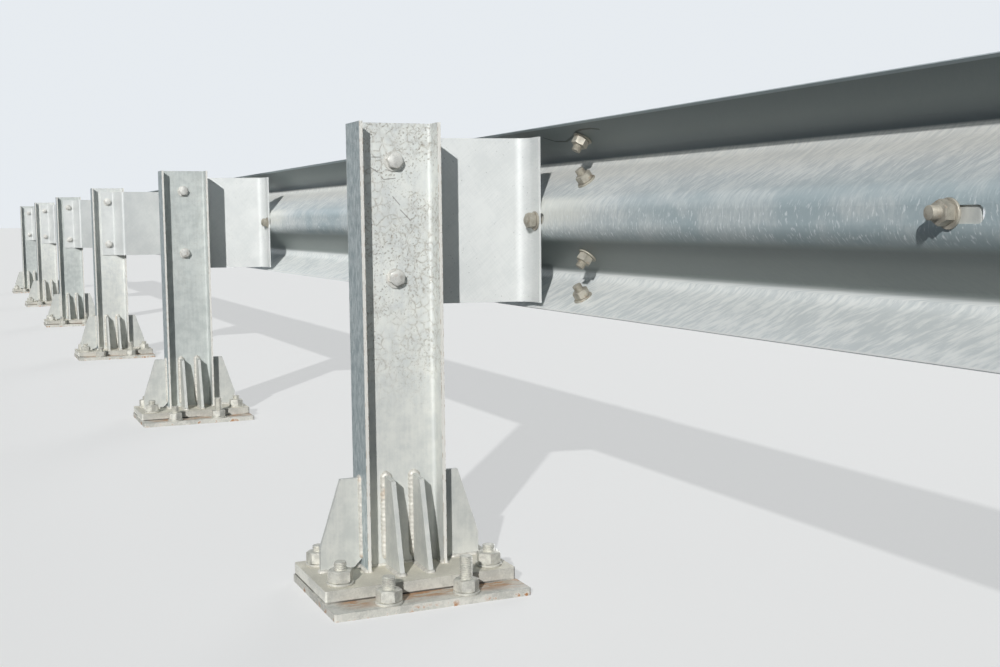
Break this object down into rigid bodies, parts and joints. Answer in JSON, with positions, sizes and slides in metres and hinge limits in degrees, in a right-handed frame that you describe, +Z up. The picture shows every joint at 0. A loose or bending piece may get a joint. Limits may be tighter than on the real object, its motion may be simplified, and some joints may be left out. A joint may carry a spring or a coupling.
{
  "type": "highway guardrail section",
  "caption": "Galvanised W-beam guardrail on I-section posts with bent spacers and bolted base plates, built as a straight run of bays for a bridge deck or road edge.",
  "frame": {"origin": "underside of the first anchor plate, below the middle of the rail's first lap and on the line of the posts", "axes": "+X along the rail to the far end, +Y away from traffic, +Z up"},
  "size_m": [12.354, 0.511, 0.759],
  "materials": {
    "rail_steel": "hot-dip galvanised, satin, with fine wipe marks",
    "post_steel": "hot-dip galvanised, dull grey with a fine cell pattern",
    "anchor_steel": "galvanised, weathered, with rust at the edges",
    "fastener_steel": "zinc coated bolts, nuts and washers"
  },
  "bodies": {
    "root": {"anchor_plate_1": "anchor_steel", "anchor_plate_2": "anchor_steel", "anchor_plate_3": "anchor_steel", "anchor_plate_4": "anchor_steel", "anchor_plate_5": "anchor_steel", "anchor_plate_6": "anchor_steel", "anchor_plate_7": "anchor_steel", "base_plate_1": "post_steel", "base_plate_2": "post_steel", "base_plate_3": "post_steel", "base_plate_4": "post_steel", "base_plate_5": "post_steel", "base_plate_6": "post_steel", "base_plate_7": "post_steel", "post_1": "post_steel", "post_2": "post_steel", "post_3": "post_steel", "post_4": "post_steel", "post_5": "post_steel", "post_6": "post_steel", "post_7": "post_steel", "stiffeners_1": "post_steel", "stiffeners_2": "post_steel", "stiffeners_3": "post_steel", "stiffeners_4": "post_steel", "stiffeners_5": "post_steel", "stiffeners_6": "post_steel", "stiffeners_7": "post_steel", "spacer_1": "rail_steel", "spacer_2": "rail_steel", "spacer_3": "rail_steel", "spacer_4": "rail_steel", "spacer_5": "rail_steel", "spacer_6": "rail_steel", "spacer_7": "rail_steel", "rail_panel_1": "rail_steel", "rail_panel_2": "rail_steel", "rail_panel_3": "rail_steel", "rail_panel_4": "rail_steel"}
  },
  "joints": []
}
